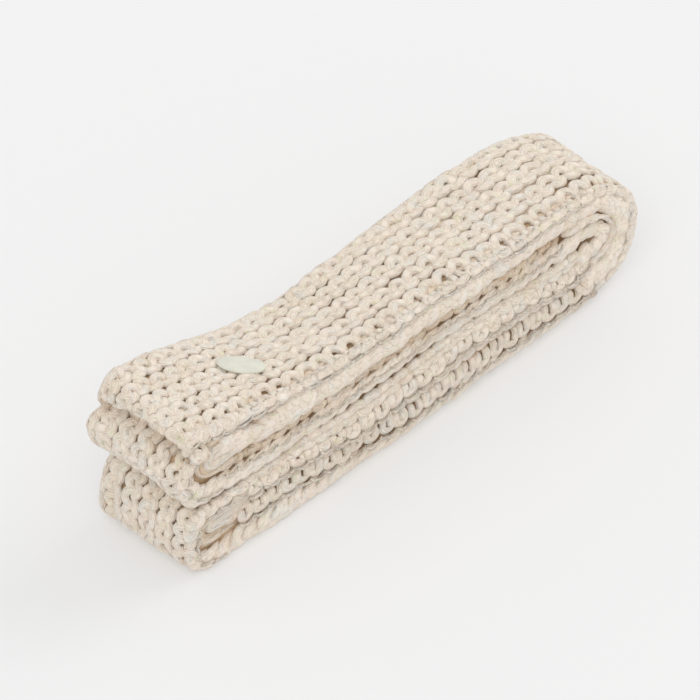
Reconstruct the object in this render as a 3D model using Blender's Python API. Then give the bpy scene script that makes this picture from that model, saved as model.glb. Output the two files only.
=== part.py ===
"""A knitted snood, folded flat: a chunky strip doubled along its length and laid down in four thicknesses.

Frame: +X along the pile to its round right turn, -Y the side where the strip's two long edges meet,
+Z up. The tables are in millimetres, from a corner near the left end. The last step moves the origin
to the centre of the pile's box, on the surface that it lies on, and turns the meshes into metres.
"""

import math

import bpy
from mathutils import Matrix, Vector

MM = 0.001

# Driving sizes: the gaps.
GAP = 0.3            # between two pieces at a seam
LAYER_GAP = 0.55     # above and below the hidden layers
SKIN_GAP = 0.7       # between the two skins of a double thickness

# Where the stretches meet.
LEFT_SEAM = 45.0
RIGHT_SEAM = 338.0
WRAP_REACH = 380.0   # the round turn's furthest point
TURN_REACH = 356.5   # the furthest point of the turn's inner face
INNER_REACH = 355.5  # the furthest point of the layers that the turn wraps

# Heights of the layers' upper faces along x, at y = 0 and at the far line. The doubled strip lies in
# four thicknesses a, b, c and d, from the top down; d rests on the surface.
FAR_LINE = 77.0
LEVEL_COLUMNS = ("x", "a_near", "b_near", "c_near", "d_near", "a_far", "b_far", "c_far", "d_far")
LEVELS = (
    (0.0, 116.0, 96.0, 54.0, 31.0, 119.0, 96.0, 56.0, 30.0),
    (30.0, 111.0, 88.0, 53.0, 34.0, 115.5, 91.0, 54.0, 29.0),
    (67.0, 103.0, 81.0, 54.0, 38.0, 102.0, 79.0, 49.0, 27.0),
    (100.0, 98.0, 79.0, 56.0, 38.0, 93.0, 71.0, 46.0, 24.0),
    (140.0, 97.0, 78.0, 58.0, 34.0, 84.5, 65.0, 42.0, 21.0),
    (185.0, 95.5, 78.0, 59.0, 35.0, 84.5, 64.0, 42.0, 21.0),
    (230.0, 95.0, 78.0, 58.0, 39.0, 88.0, 67.0, 44.0, 22.0),
    (277.0, 92.0, 77.0, 57.0, 39.0, 91.0, 69.0, 45.0, 22.0),
    (317.0, 90.0, 76.0, 54.0, 31.0, 89.0, 68.0, 45.0, 22.0),
    (345.0, 86.0, 72.0, 51.0, 26.0, 86.0, 66.0, 45.0, 23.0),
)

# Where the near and far sides run, along x: the stack bulges forward at mid length, and its top
# thickness is drawn in at the back.
SIDE_COLUMNS = ("x", "top_near", "mid_near", "base_near", "top_far", "base_far")
SIDES = (
    (0.0, 2.0, 0.0, -1.0, 78.5, 78.0),
    (45.0, 0.0, -2.5, -5.0, 78.5, 78.0),
    (100.0, -1.5, -4.5, -6.5, 76.5, 78.0),
    (150.0, -2.5, -5.5, -7.0, 75.0, 77.5),
    (220.0, -2.5, -6.0, -7.0, 75.5, 77.5),
    (290.0, -2.0, -5.0, -6.0, 76.0, 77.0),
    (345.0, 0.0, -2.0, -2.5, 74.5, 75.0),
)

# The left folds in outline, near and far: the outer face and the pivot line that it bends round.
FOLD_COLUMNS = ("x", "z", "far_x", "far_z", "in_x", "in_z", "y_near", "y_far")
UPPER_FOLD = (
    (26.0, 112.0, 26.0, 115.5, 30.0, 88.6, 0.8, 77.5),
    (8.0, 115.5, 8.0, 119.5, 23.0, 89.2, 1.8, 78.0),
    (1.0, 115.0, 1.0, 119.0, 21.0, 89.3, 2.0, 78.0),
    (-2.5, 110.5, -3.5, 114.0, 20.3, 88.9, 2.0, 78.0),
    (0.5, 106.0, -1.0, 108.5, 20.0, 88.5, 2.0, 78.0),
    (7.0, 103.6, 6.0, 105.0, 20.0, 88.2, 1.5, 78.5),
    (12.0, 101.0, 10.0, 102.0, 20.0, 87.9, 1.0, 79.0),
    (6.0, 98.0, 3.0, 99.0, 20.0, 87.5, 0.5, 80.0),
    (-3.0, 92.5, -8.0, 93.0, 20.0, 87.1, 0.0, 81.5),
    (-7.5, 83.0, -12.5, 83.0, 20.2, 86.7, 0.0, 82.0),
    (-7.0, 72.0, -12.0, 70.0, 20.6, 86.3, 0.0, 82.0),
    (-1.0, 61.0, -5.0, 60.0, 21.2, 86.0, 0.0, 81.0),
    (9.0, 55.0, 6.0, 55.0, 23.0, 85.8, -0.3, 79.5),
    (26.0, 53.8, 25.0, 53.6, 31.0, 85.6, -1.0, 78.0),
)
LOWER_FOLD = (
    (26.0, 51.8, 26.0, 51.6, 26.0, 33.0, -1.5, 78.0),
    (9.0, 50.0, 9.0, 50.5, 17.0, 31.0, -0.8, 78.0),
    (1.5, 44.0, 0.0, 44.0, 14.0, 29.6, -0.6, 78.0),
    (-1.5, 33.0, -3.5, 32.0, 13.0, 28.6, -0.8, 78.0),
    (-2.0, 21.0, -4.0, 20.0, 13.0, 27.9, -1.0, 78.0),
    (0.5, 9.5, -1.5, 9.0, 13.4, 27.2, -1.4, 78.0),
    (5.5, 2.5, 4.0, 2.5, 14.5, 26.4, -1.8, 78.0),
    (12.0, 0.0, 11.0, 0.0, 17.0, 26.6, -2.6, 78.0),
    (26.0, 0.0, 26.0, 0.0, 28.0, 30.4, -4.0, 78.0),
)

# The grooves in the hidden layers' edges: their depth, and where b's skins part, from its top.
GROOVE = 5.0
SKIN_SHARE = 0.22

# The oval tag: its middle, its size, and its turn from the x axis in degrees.
TAG_X, TAG_Y = 80.0, 37.0
TAG_LENGTH, TAG_WIDTH, TAG_THICK = 30.0, 17.0, 1.4
TAG_TURN = -45.0
TAG_SIDES = 24

STRETCH_STATIONS = 15
TURN_STATIONS = 15
ARC_STEPS = 4

YARN_CREAM = (0.80, 0.73, 0.63, 1.0)
TAG_WHITE = (0.80, 0.80, 0.74, 1.0)


def clear_scene():
    for thing in list(bpy.data.objects):
        bpy.data.objects.remove(thing, do_unlink=True)


def cloth_material(name, colour, roughness):
    material = bpy.data.materials.new(name)
    material.use_nodes = True
    shader = material.node_tree.nodes["Principled BSDF"]
    shader.inputs["Base Color"].default_value = colour
    shader.inputs["Roughness"].default_value = roughness
    shader.inputs["Metallic"].default_value = 0.0
    return material


def column(rows, columns, name):
    index = columns.index(name)
    return [row[index] for row in rows]


def smooth_value(xs, values, x):
    """A value read from a table at x, on a smooth curve through its rows."""
    x = min(max(x, xs[0]), xs[-1])
    i = max(k for k in range(len(xs) - 1) if xs[k] <= x)
    before, after = max(i - 1, 0), min(i + 2, len(xs) - 1)
    span = xs[i + 1] - xs[i]
    t = (x - xs[i]) / span
    start_slope = (values[i + 1] - values[before]) / (xs[i + 1] - xs[before]) * span
    end_slope = (values[after] - values[i]) / (xs[after] - xs[i]) * span
    return (
        (2 * t**3 - 3 * t**2 + 1) * values[i]
        + (t**3 - 2 * t**2 + t) * start_slope
        + (3 * t**2 - 2 * t**3) * values[i + 1]
        + (t**3 - t**2) * end_slope
    )


def level(layer, x, y):
    """The height of a layer's upper face: level across, from its near to its far value."""
    xs = column(LEVELS, LEVEL_COLUMNS, "x")
    near = smooth_value(xs, column(LEVELS, LEVEL_COLUMNS, layer + "_near"), x)
    far = smooth_value(xs, column(LEVELS, LEVEL_COLUMNS, layer + "_far"), x)
    return near + (far - near) * y / FAR_LINE


def side(name, x):
    return smooth_value(column(SIDES, SIDE_COLUMNS, "x"), column(SIDES, SIDE_COLUMNS, name), x)


def arc(centre, radii, start, end, steps=ARC_STEPS):
    """Points on a quarter ellipse, from the start to the end angle in degrees."""
    points = []
    for k in range(steps + 1):
        angle = math.radians(start + (end - start) * k / steps)
        points.append((centre[0] + radii[0] * math.cos(angle), centre[1] + radii[1] * math.sin(angle)))
    return points


def doubled_outline(width, thick, slit, near_in, near_out, far_in, far_out):
    """The section of the doubled strip: round at the far fold, slit open between its skins at the near side.

    Points are (across, up) from the inner near corner, with the corners' radii given.
    """
    half = SKIN_GAP / 2
    slit_end = width - 0.5 * thick
    points = arc((near_in, near_in), (near_in, near_in), 180, 270)
    points += [(width * f, 0.0) for f in (0.3, 0.55, 0.75)]
    points += arc((width - far_in, far_in), (far_in, far_in), 270, 360)
    points += arc((width - far_out, thick - far_out), (far_out, far_out), 0, 90)
    points += [(width * f, thick) for f in (0.75, 0.55, 0.3)]
    points += arc((near_out, thick - near_out), (near_out, near_out), 90, 180)
    points += [(0.0, slit + half), (0.35 * width, slit + half), (slit_end, slit + half)]
    points += [(slit_end + half, slit)]
    points += [(slit_end, slit - half), (0.35 * width, slit - half), (0.0, slit - half)]
    return points


def rail_ring(station, outline_of):
    """One ring of a stretch: its outline stretched between the inner and outer, near and far rails."""
    near_in, near_out, far_in, far_out = station
    width = ((far_in - near_in).length + (far_out - near_out).length) / 2
    thick = ((near_out - near_in).length + (far_out - far_in).length) / 2
    ring = []
    for across, up in outline_of(width, thick):
        w, n = across / width, up / thick
        ring.append(near_in.lerp(far_in, w).lerp(near_out.lerp(far_out, w), n))
    return ring


def loft(name, rings, material):
    """A closed body through rings with equal counts of points, with a flat cap at each end."""
    count = len(rings[0])
    points = [tuple(point) for ring in rings for point in ring]
    faces = []
    for k in range(len(rings) - 1):
        for i in range(count):
            j = (i + 1) % count
            faces.append((k * count + i, k * count + j, (k + 1) * count + j, (k + 1) * count + i))
    faces.append(tuple(reversed(range(count))))
    faces.append(tuple((len(rings) - 1) * count + i for i in range(count)))
    return add_object(name, points, faces, material)


def add_object(name, points, faces, material):
    mesh = bpy.data.meshes.new(name)
    mesh.from_pydata(points, [], faces)
    mesh.validate()
    mesh.shade_smooth()
    mesh.set_sharp_from_angle(angle=math.radians(50))
    mesh.materials.append(material)
    thing = bpy.data.objects.new(name, mesh)
    bpy.context.scene.collection.objects.link(thing)
    return thing


def spread(start, end, count):
    return [start + (end - start) * k / (count - 1) for k in range(count)]


def stretch_rails(x, near, far, inner, outer):
    """A station across the pile at x: inner and outer heights, at the near and the far side."""
    return (
        Vector((x, near, inner(near))),
        Vector((x, near, outer(near))),
        Vector((x, far, inner(far))),
        Vector((x, far, outer(far))),
    )


def top_stretch(material):
    """The top double thickness, from the left fold to the right turn."""
    rings = []
    for x in spread(LEFT_SEAM + GAP / 2, RIGHT_SEAM - GAP / 2, STRETCH_STATIONS):
        station = stretch_rails(
            x,
            side("top_near", x),
            side("top_far", x),
            lambda y: level("b", x, y) + GAP / 2,
            lambda y: level("a", x, y),
        )
        rings.append(rail_ring(station, top_outline))
    return loft("top_stretch", rings, material)


def top_outline(width, thick):
    near_in, near_out, far_in, far_out = (thick * share for share in (0.25, 0.22, 0.42, 0.42))
    return doubled_outline(width, thick, 0.66 * thick, near_in, near_out, far_in, far_out)


def base_stretch(material):
    """The bottom double thickness, flat where it rests."""
    rings = []
    for x in spread(LEFT_SEAM + GAP / 2, RIGHT_SEAM - GAP / 2, STRETCH_STATIONS):
        station = stretch_rails(
            x,
            side("base_near", x),
            side("base_far", x),
            lambda y: 0.0,
            lambda y: level("d", x, y) - GAP / 2,
        )
        rings.append(rail_ring(station, base_outline))
    return loft("base_stretch", rings, material)


def base_outline(width, thick):
    near_in, near_out, far_in, far_out = (thick * share for share in (0.12, 0.2, 0.2, 0.45))
    return doubled_outline(width, thick, 0.47 * thick, near_in, near_out, far_in, far_out)


def right_turn(material):
    """The outer turn: the doubled strip bends down round the end of the hidden layers."""
    rings = []
    for k in range(TURN_STATIONS):
        share = k / (TURN_STATIONS - 1)
        angle = math.radians(90 - 180 * share)
        near = turn_rails(angle, share, "near")
        far = turn_rails(angle, share, "far")
        blend = smooth_step(share)
        rings.append(rail_ring(near + far, lambda width, thick: turn_outline(width, thick, blend)))
    return loft("right_turn", rings, material)


def turn_rails(angle, share, where):
    """Inner and outer points of the turn at an angle, on its near or far side."""
    x = RIGHT_SEAM + GAP / 2
    top_y, base_y = side("top_" + where, x), side("base_" + where, x)
    y = top_y + (base_y - top_y) * share
    inner_top, inner_base = level("b", x, y) + GAP / 2, level("d", x, y) - GAP / 2
    inner = turn_point(x, angle, TURN_REACH - x, inner_base, inner_top)
    outer = turn_point(x, angle, WRAP_REACH - x, 0.0, level("a", x, y))
    return Vector((inner[0], y, inner[1])), Vector((outer[0], y, outer[1]))


def turn_outline(width, thick, blend):
    """The top stretch's section at the start of the turn, easing into the base's at its end."""
    slit, near_in, near_out, far_in, far_out = (
        thick * (start + (end - start) * blend)
        for start, end in ((0.66, 0.53), (0.25, 0.2), (0.22, 0.12), (0.42, 0.45), (0.42, 0.2))
    )
    return doubled_outline(width, thick, slit, near_in, near_out, far_in, far_out)


def turn_point(x, angle, reach, base, top):
    return x + reach * math.cos(angle), (top + base) / 2 + (top - base) / 2 * math.sin(angle)


def smooth_step(share):
    return share * share * (3 - 2 * share)


def fold_piece(name, rows, start, end, material):
    """A left fold: rings that fan round its pivot line, between its upper seam and its lower one."""
    stations = [start]
    for row in rows:
        value = dict(zip(FOLD_COLUMNS, row))
        stations.append((
            Vector((value["in_x"], value["y_near"], value["in_z"])),
            Vector((value["x"], value["y_near"], value["z"])),
            Vector((value["in_x"], value["y_far"], value["in_z"])),
            Vector((value["far_x"], value["y_far"], value["far_z"])),
        ))
    stations.append(end)
    rings = [rail_ring(station, fold_outline) for station in reversed(stations)]
    return loft(name, rings, material)


def fold_outline(width, thick):
    edge = min(0.25 * thick, 5.0)
    return doubled_outline(width, thick, 0.5 * thick, 0.5 * edge, edge, 1.0, min(0.45 * thick, 9.0))


def upper_left_fold(material):
    """The lip at the top and the fold that swells out below its crease."""
    x = LEFT_SEAM - GAP / 2
    start = stretch_rails(
        x,
        side("top_near", x),
        side("top_far", x),
        lambda y: level("b", x, y) + GAP,
        lambda y: level("a", x, y),
    )
    end = stretch_rails(
        x,
        side("mid_near", x),
        side("base_far", x),
        lambda y: level("b", x, y) - GAP,
        lambda y: level("c", x, y) + GAP,
    )
    return fold_piece("upper_left_fold", UPPER_FOLD, start, end, material)


def lower_left_fold(material):
    """The lower fold, from the hidden layers round to the flat base."""
    x = LEFT_SEAM - GAP / 2
    start = stretch_rails(
        x,
        side("mid_near", x),
        side("base_far", x),
        lambda y: level("d", x, y) + GAP,
        lambda y: level("c", x, y) - GAP,
    )
    end = stretch_rails(
        x,
        side("base_near", x),
        side("base_far", x),
        lambda y: level("d", x, y) - GAP,
        lambda y: 0.0,
    )
    return fold_piece("lower_left_fold", LOWER_FOLD, start, end, material)


def hidden_layers(material):
    """Thicknesses b and c in one body, with a groove where they part and one between b's skins."""
    xs = spread(LEFT_SEAM + GAP / 2, RIGHT_SEAM, STRETCH_STATIONS)
    reach = INNER_REACH - RIGHT_SEAM
    xs += [RIGHT_SEAM + reach * math.sin(math.radians(angle)) for angle in (25, 45, 62, 76)]
    rings = [layered_ring(x) for x in xs]
    return loft("hidden_layers", rings, material)


def layered_ring(x):
    """A section of the hidden layers: rounded edges stacked, with grooves between them."""
    held = min(x, RIGHT_SEAM)
    near, far = side("mid_near", held), side("base_far", held) - 0.5
    heights = [level(layer, held, near) for layer in ("d", "c", "b")]
    far_heights = [level(layer, held, far) for layer in ("d", "c", "b")]
    low, part, top = heights[0] + LAYER_GAP, heights[1], heights[2] - LAYER_GAP
    far_low, far_part, far_top = far_heights[0] + LAYER_GAP, far_heights[1], far_heights[2] - LAYER_GAP
    skin = top - SKIN_SHARE * (top - part)
    ring = edge_bulge(near - 1.5, low, part, GROOVE, 3.5)
    ring += edge_bulge(near, part, skin, GROOVE, 2.5)
    ring += edge_bulge(near + 0.8, skin, top, GROOVE, 1.5)
    ring += [(y, level("b", held, y) - LAYER_GAP) for y in spread(near + GROOVE + 3, far - GROOVE - 5, 5)]
    ring += edge_bulge(far, far_top, far_part, -GROOVE, 4.0)
    ring += edge_bulge(far, far_part, far_low, -GROOVE, 4.0)
    ring += [(y, level("d", held, y) + LAYER_GAP) for y in spread(far - GROOVE - 5, near + GROOVE + 3, 5)]
    ring.reverse()
    return [Vector((x, y, rounded_height(x, y, z))) for y, z in ring]


def rounded_height(x, y, z):
    """Draws a height towards the hidden layers' mid height, where their right end rounds off."""
    past = max(x - RIGHT_SEAM, 0.0) / (INNER_REACH - RIGHT_SEAM)
    keep = math.sqrt(max(1.0 - past * past, 0.0))
    held = min(x, RIGHT_SEAM)
    middle = (level("d", held, y) + level("b", held, y)) / 2
    return middle + (z - middle) * keep


def edge_bulge(y, start_z, end_z, groove, rounding):
    """One layer's edge seen in section: in at the grooves above and below it, round and full between."""
    rise = end_z - start_z
    soft = rounding / abs(rise)
    return [
        (y + groove, start_z + 0.02 * rise),
        (y + 0.35 * groove, start_z + 0.4 * soft * rise),
        (y, start_z + (soft + 0.1) * rise),
        (y, end_z - (soft + 0.1) * rise),
        (y + 0.35 * groove, end_z - 0.4 * soft * rise),
        (y + groove, end_z - 0.02 * rise),
    ]


def tag(material):
    """The small blank oval tag, lying on the top face."""
    turn = math.radians(TAG_TURN)
    rings = []
    for height, scale in ((0.0, 0.94), (0.5, 1.0), (TAG_THICK - 0.4, 1.0), (TAG_THICK, 0.93)):
        ring = []
        for k in range(TAG_SIDES):
            angle = 2 * math.pi * k / TAG_SIDES
            along = TAG_LENGTH / 2 * scale * math.cos(angle)
            across = TAG_WIDTH / 2 * scale * math.sin(angle)
            x = TAG_X + along * math.cos(turn) - across * math.sin(turn)
            y = TAG_Y + along * math.sin(turn) + across * math.cos(turn)
            ring.append(Vector((x, y, level("a", x, y) + GAP + height)))
        rings.append(ring)
    return loft("tag", rings, material)


def centre_pile():
    """Moves the origin to the middle of the pile's box and scales the meshes to metres."""
    meshes = [thing.data for thing in bpy.context.scene.objects]
    corners = [vertex.co for mesh in meshes for vertex in mesh.vertices]
    middle_x, middle_y = (
        (min(point[axis] for point in corners) + max(point[axis] for point in corners)) / 2
        for axis in (0, 1)
    )
    settle = Matrix.Scale(MM, 4) @ Matrix.Translation((-middle_x, -middle_y, 0.0))
    for mesh in meshes:
        mesh.transform(settle)


def main():
    clear_scene()
    knit = cloth_material("knit", YARN_CREAM, 0.9)
    plain = cloth_material("tag_cloth", TAG_WHITE, 0.6)
    top_stretch(knit)
    right_turn(knit)
    base_stretch(knit)
    upper_left_fold(knit)
    lower_left_fold(knit)
    hidden_layers(knit)
    tag(plain)
    centre_pile()


main()
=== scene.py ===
"""The looks of a folded chunky-knit snood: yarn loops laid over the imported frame's cloth.

The snood is one closed, doubled strip, laid down in four double thicknesses. A place on it is given
by s, the length along the strip, w, the length across a skin from the edge at the near side, and n,
the height over the cloth's outer surface. Every loop of yarn is a tube drawn in those three and then
laid on the strip. Lengths are in millimetres, in the frame of the tables, until build_mesh. The
stage and the camera are in metres.
"""

import math

import bpy
import numpy as np
from mathutils import Euler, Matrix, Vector
from numpy.linalg import norm


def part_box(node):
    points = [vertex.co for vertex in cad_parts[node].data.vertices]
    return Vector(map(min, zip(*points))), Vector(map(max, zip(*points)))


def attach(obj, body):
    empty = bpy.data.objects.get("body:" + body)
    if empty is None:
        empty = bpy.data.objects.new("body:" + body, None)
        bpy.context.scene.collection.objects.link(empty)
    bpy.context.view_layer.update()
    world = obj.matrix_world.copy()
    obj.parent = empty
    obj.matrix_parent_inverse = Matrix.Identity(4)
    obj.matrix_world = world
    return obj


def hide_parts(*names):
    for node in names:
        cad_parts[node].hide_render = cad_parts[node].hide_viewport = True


MM = 0.001
NEAR, FAR, LEFT = (0, -1, 0), (0, 1, 0), (-1, 0, 0)
FLOOR_GAP = 0.2  # nothing lies lower than this over the floor

# The strip's stitches.
STRIP_WIDTH = 155.0  # the cut strip, with both skins
STITCH = 11.7  # one stitch along the strip
RIDGE = 14.3  # one garter ridge across it
RIDGE_COUNT = 8
RIDGE_LOOPS = ((0.0, 1), (0.5, -1))  # a ridge's two rows of loops: offset in stitches, direction
EDGE_BAND = 20.0  # from the edge to the first valley: the edge loops and half a ridge
EDGE_LOOP_HEIGHT = 8.5
EDGE_LOOP_DROP = 6.0  # how far below the face raised loops start, where the near side is tall
GARLAND_DROP = 0.4  # how much further out the garland hangs
HALF_RIDGE, HALF_RIDGE_CORE = 7.4, 6.4  # from the first valley back to the half ridge's loops and strand
RIDGE_MARGIN = 4.0  # the last ridge keeps this far from the skin's end
END_STRANDS = ((4.0, 3.0), (11.0, 1.5))  # strands past the last ridge: distance from the end, height
FAR_ROLLS = (5.0, 18.5, 32.0, 45.5)  # rows round the inner thicknesses: distance from the end
CORE_GAPS = 0.12  # the share of a ridge's loops with no strand under them
HALF_RIDGE_GAPS = (0.35, 0.5)  # what the half ridge adds to it, always and where it is open
VALLEY_HEIGHT = 0.3  # how much higher a strand lies in a valley than under a ridge
VALLEY_SHARE = 0.9  # how many stitches have one where the knit is closest
CLOSE_START, CLOSE_REACH = 190.0, 90.0  # from where, and over what length, the top's valleys close
OPENINGS = (0.94, 1.0, 1.1, 1.25)  # how wide edge loops stand, from closed to open
OPEN_REACH = 150.0  # how far from the left the edge loops stand more open
NEAR_RIDGE_HEIGHT, NEAR_RIDGE_SIZE = -0.6, 0.85  # a near side's ridge is lower and smaller
# Painted shade: yarn at DEEP below the surface is coloured darkest and warmest.
DEEP = 8.0  # the depth under the surface at which yarn looks its warmest

# The skins and the backing under them.
FAR_WRAP = 14.0  # how far skin 1 runs on over face 2 past the far side
SKIN_2_REACH = 30.0  # how far skin 2 runs on over face 2
CORNER_ROOM = 0.8  # the most that a near corner takes of the height beside it
BACKING_DEPTH = 5.5  # how far the backing lies below the yarn's crest
BACKING_WALL = 2.0
BACKING_ROUNDING = 2.6  # its corners, apart from the one at the far side of face 2
FAR_CORNER_ROOM = 0.9  # the most that this one takes of the height that is left

# The oval tag: its middle, its size, and its turn from the x axis in degrees.
TAG_X, TAG_Y = 80.0, 37.0
TAG_LENGTH, TAG_WIDTH = 30.0, 17.0
TAG_TURN = -45.0
TAG_SIDES = 64
# Its section, from the middle of the top face to the middle of the underside: share of the half size
# outwards, height over the knit.
TAG_PROFILE = (
    (0.0, 2.0), (0.35, 1.95), (0.62, 1.8), (0.84, 1.5), (0.93, 1.2),
    (0.985, 0.8), (1.0, 0.2), (0.97, -0.5), (0.6, -0.4), (0.0, -0.2),
)

# Where the stretches meet, and how far the turns reach.
LEFT_SEAM = 45.0
RIGHT_SEAM = 338.0
INNER_SEAM = RIGHT_SEAM - 18.0
INNER_SPRING = RIGHT_SEAM - 14.0  # where the inner turn springs from
WRAP_REACH = 380.0
TURN_REACH = 356.5
INNER_REACH = 355.5
PIT_REACH = 342.0  # the furthest point of the small pit that the inner turn bends round
PIT_HEIGHT = 6.0
STATION_STEP = 12.0
OUTER_ANGLES = (78, -78, 12)  # a turn's first and last station in degrees, and the step
INNER_ANGLES = (-75, 75, 15)


def table(columns, *rows):
    """A table, as its columns by name."""
    return dict(zip(columns, zip(*rows)))


# Heights of the four thicknesses' upper faces along x, at y = 0 and at the far line.
FAR_LINE = 77.0
LEVELS = table(
    ("x", "a_near", "b_near", "c_near", "d_near", "a_far", "b_far", "c_far", "d_far"),
    (0, 116, 96, 54, 31, 119, 96, 56, 30),
    (30, 111, 85, 53, 34, 115.5, 91, 54, 29),
    (67, 103, 78.5, 53, 39, 102, 79, 49, 27),
    (100, 98, 77.5, 55, 37, 93, 71, 46, 24),
    (140, 97, 78, 57, 32.5, 85.5, 65, 42, 21),
    (185, 95.5, 78, 57.5, 33, 87.5, 64, 42, 21),
    (230, 95, 78, 58, 38.5, 91, 67, 44, 22),
    (277, 92, 77, 54.5, 39, 91, 69, 45, 22),
    (317, 90, 76, 51.5, 31.5, 89, 68, 45, 22),
    (345, 86, 72, 50, 26, 86, 66, 45, 23),
)
SIDES = table(
    ("x", "top_near", "mid_near", "base_near", "top_far", "base_far"),
    (0, 2, 0, -1, 78.5, 78),
    (45, 0, -2.5, -5, 78.5, 78),
    (100, -1.5, -4.5, -6.5, 76.5, 78),
    (150, -2.5, -5.5, -7, 75, 77.5),
    (220, -2.5, -6, -7, 75.5, 77.5),
    (290, -2, -5, -6, 76, 77),
    (345, 0, -2, -2.5, 74.5, 75),
)

# Each thickness: its near and far sides in SIDES, what its faces 1 and 2 follow in LEVELS, and how
# far they stand in from the near side. The third slopes out and down over the fourth.
THICKNESSES = {
    "top": (("top_near", "top_far"), ("a", "b"), (0.0, 0.0)),
    "base": (("base_near", "base_far"), ("floor", "d"), (0.0, 0.0)),
    "third": (("mid_near", "base_far"), ("c", "d"), (2.0, -2.5)),
    "second": (("mid_near", "base_far"), ("c", "b"), (0.5, 1.0)),
}
INNER_TURN_SETBACKS = (1.5, -1.0)

# The left folds in outline, from below upwards: x and z of the outer face at the near side and at the
# far side, x and z of the line that the fold bends round, and y of the near side and the far side.
UPPER_FOLD = (
    (26, 53.8, 25, 53.6, 31, 85.6, -1, 78),
    (9, 55, 9, 55, 23, 85.8, -0.3, 79.5),
    (-1, 61, 0.5, 60, 21.2, 86, 0, 81),
    (-7, 72, -6, 68, 20.6, 86, 0, 82),
    (-7.5, 83, -9.5, 77, 20.2, 86.2, 0, 82),
    (-3, 92.5, -8.5, 85, 20, 86.4, 0, 81.5),
    (6, 98, -2, 90, 20, 86.6, 0.5, 80),
    (12, 101, 5, 92.5, 20, 86.8, 1, 79),
    (7, 103.6, 2, 95, 20, 87.2, 1.5, 78.5),
    (0.5, 106, -2.5, 100, 20, 87.8, 2, 78),
    (-2.5, 110.5, -3.8, 108, 20.3, 88.6, 2, 78),
    (1, 115, -0.5, 115.5, 21, 89.2, 2, 78),
    (8, 115.5, 8, 119.5, 23, 89.2, 1.8, 78),
    (26, 112, 26, 115.5, 30, 88.6, 0.8, 77.5),
)
LOWER_FOLD = (
    (26, 0, 26, 0, 28, 30.4, -4, 78),
    (12, 0, 11, 0, 17, 26.6, -2.6, 78),
    (5.5, 2.5, 4, 2.5, 14.5, 26.4, -1.8, 78),
    (0.5, 9.5, -4, 9, 13.4, 27.2, -1.4, 78),
    (-2, 21, -4, 20, 13, 27.9, -1, 78),
    (-1.5, 33, -2, 32, 13, 28.6, -0.8, 78),
    (1.5, 44, 4, 44, 14, 29.6, -0.6, 78),
    (9, 50, 9, 50.5, 17, 31, -0.8, 78),
    (26, 51.8, 26, 51.6, 26, 33, -1.5, 78),
)
# The lip at the left end of the top: the heights of the notch under it and of its upper face, near
# and far, and how far its lower edge rises in the middle.
LIP_NOTCH, LIP_TOP = (101.0, 92.5), (115.0, 119.0)
LIP_RISE = 8.0
LIP_START = 3.0  # the rise grows over this height above the notch
LIP_INNER = 28.0  # and ends at this x
# The rows of stitches in the upper fold's notch, from the near side to the far side.
NOTCH_ROWS = (
    ((10.5, 3, 102), (7, 74, 97.2)),
    ((11.5, 3, 101.3), (8.5, 74, 95.7)),
    ((12.5, 3, 100.5), (10, 74, 93.9)),
)
NOTCH_STITCHES, NOTCH_STEPS = 14, 8
NOTCH_SLANT = (1.3, 0.0, -1.5)  # how far a stitch's far end leans out of its row
# NOTCH_DEPTH is how deep the notch's stitches count as lying, which sets their painted shade.
NOTCH_WIDE, NOTCH_THICK, NOTCH_DEPTH = 2.4, 1.7, 5.5
# The backing recedes in the notch: how far and up to which x, over what length it eases off, and the
# middle and half the height of the band that recedes.
RECESS, RECESS_INNER, RECESS_EASE = 9.0, 18.0, 6.0
RECESS_MIDDLE, RECESS_HALF = 2.5, 4.0

# The strands inside the left folds: the middle they turn round (x, z), their y, the x that both ends
# reach, their radii, how deep they count as lying, which sets their painted shade, and the way they face.
CURLS = {
    "upper_fold": (
        ((22, 88), 1.5, 42, (1.5, 4.5, 7.5), 3, NEAR),
        ((22, 88), 3, 36, (10.5,), 6, NEAR),
        ((22, 88), 2.6, 38, (13.5,), 4.8, NEAR),
        ((22, 88), 75, 38, (1.5, 4.5, 7.5), 3, FAR),
    ),
    "lower_fold": (
        ((19, 34.5), 0.5, 50, (1.5, 4), 3.5, NEAR),
        ((19, 31), 2.5, 66, (7.5, 13), 6.3, NEAR),
        ((19, 31), 1.9, 58, (10.3,), 4.6, NEAR),
        ((17, 28.5), 74, 34, (1.5, 4.5, 7.5), 3, FAR),
    ),
}
CURL_WIDE, CURL_THICK = 2.6, 1.8
LEG_STEPS, BEND_STEPS = 12, 14

# How a section of each stretch is shaped, as shares of its thickness: the height over face 1 where
# its skins part at the near side, and how far its near corners round and its far ones, on faces 1 and 2.
SHAPES = {
    "upper_fold": (0.50, 0.22, 0.10, 0.16, 0.10),
    "top": (0.11, 0.09, 0.12, 0.22, 0.42),
    "turn": (0.26, 0.20, 0.10, 0.60, 0.35),
    "base": (0.38, 0.34, 0.20, 0.20, 0.45),
    "lower_fold": (0.58, 0.20, 0.10, 0.34, 0.10),
    "third": (0.93, 0.20, 0.10, 0.40, 0.40),
    "inner_turn": (0.80, 0.15, 0.06, 0.40, 0.40),
    "second": (0.55, 0.15, 0.06, 0.40, 0.40),
}
# Where the base's slit lies instead, along x: it climbs towards the left, where the lower skin is full.
BASE_SLITS = table(
    ("x", "slit"),
    (45, 0.68), (80, 0.66), (100, 0.63), (120, 0.58), (140, 0.53),
    (160, 0.49), (200, 0.44), (300, 0.40), (345, 0.38),
)

# How far a backing lies inside face 1, inside face 2 as a share of the thickness, and inside the
# near and far sides, and how round its corner is at the far side of face 2.
FLAT_INSETS = (BACKING_DEPTH, 0.01, 5.0, 8.0)
FOLD_INSETS = (BACKING_DEPTH, 0.10, BACKING_DEPTH, BACKING_ROUNDING)
INNER_INSETS = (0.3, 0.01, 8.5, 6.0)
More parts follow.
